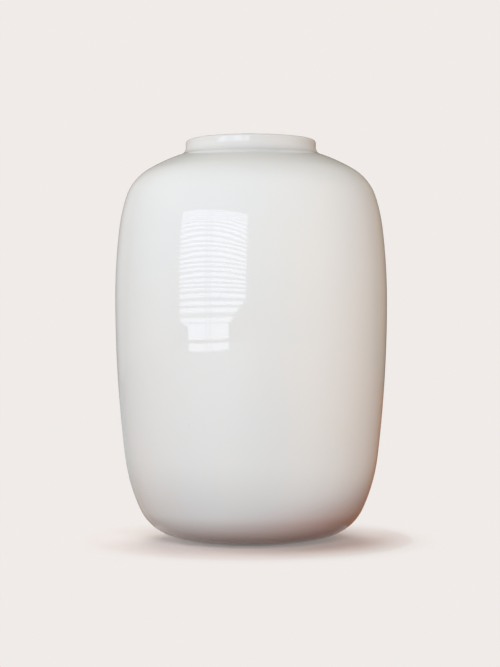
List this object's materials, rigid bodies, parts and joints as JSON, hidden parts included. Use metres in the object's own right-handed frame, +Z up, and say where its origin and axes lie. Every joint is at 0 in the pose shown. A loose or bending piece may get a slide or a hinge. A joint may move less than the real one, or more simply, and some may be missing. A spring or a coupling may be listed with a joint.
{
  "type": "glazed porcelain jar",
  "caption": "Tall barrel-shaped white glazed jar with a short straight collar, a rounded lip and a flat recessed base, open at the mouth.",
  "frame": {"origin": "centre of the contact ring, on the surface that the jar stands on", "axes": "+Z up along the axis of turning, X and Y free because the jar is round"},
  "size_m": [0.2499, 0.25, 0.367],
  "materials": {
    "white_glaze": "mirror-smooth clear glaze over white body",
    "bare_porcelain": "matt fired porcelain, wiped clean of glaze",
    "luting_slip": "matt fired slip"
  },
  "bodies": {
    "root": {"lower_bowl": "bare_porcelain", "waist_slip": "luting_slip", "upper_bowl": "bare_porcelain", "collar_slip": "luting_slip", "mouth_collar": "bare_porcelain", "outer_glaze": "white_glaze", "inner_glaze": "white_glaze"}
  },
  "joints": []
}
